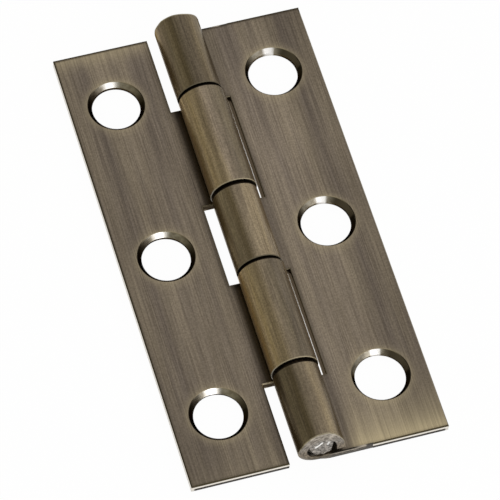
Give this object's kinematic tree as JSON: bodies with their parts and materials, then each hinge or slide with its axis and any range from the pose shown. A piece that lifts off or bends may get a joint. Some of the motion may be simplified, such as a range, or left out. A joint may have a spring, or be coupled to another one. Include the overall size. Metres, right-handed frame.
{
  "type": "narrow butt hinge",
  "caption": "Narrow butt hinge with rolled knuckles on a plain pin and countersunk screw holes, in a brushed antique brass finish, for cabinet doors and box lids.",
  "frame": {"origin": "midway along the pin, below its axis, on the plane of the leaves' backs", "axes": "+Y along the pin, +X from the pin towards the three-knuckle leaf, +Z out of the leaves' front faces, on the barrel's side"},
  "size_m": [0.0332, 0.064, 0.0061],
  "materials": {
    "antique_brass_leaf": "steel plated in antique brass, brushed along the pin and lacquered",
    "bare_steel_pin": "bare steel wire, cut at both ends"
  },
  "bodies": {
    "fixed_leaf": {"three_knuckle_leaf": "antique_brass_leaf", "hinge_pin": "bare_steel_pin"},
    "swing_leaf": {"two_knuckle_leaf": "antique_brass_leaf"}
  },
  "joints": [
    {"name": "leaf_swing", "type": "hinge", "parent": "fixed_leaf", "child": "swing_leaf", "pos_m": [0, 0, 0.00305], "axis": [0, 1, 0], "range_deg": [-100, 192]}
  ]
}
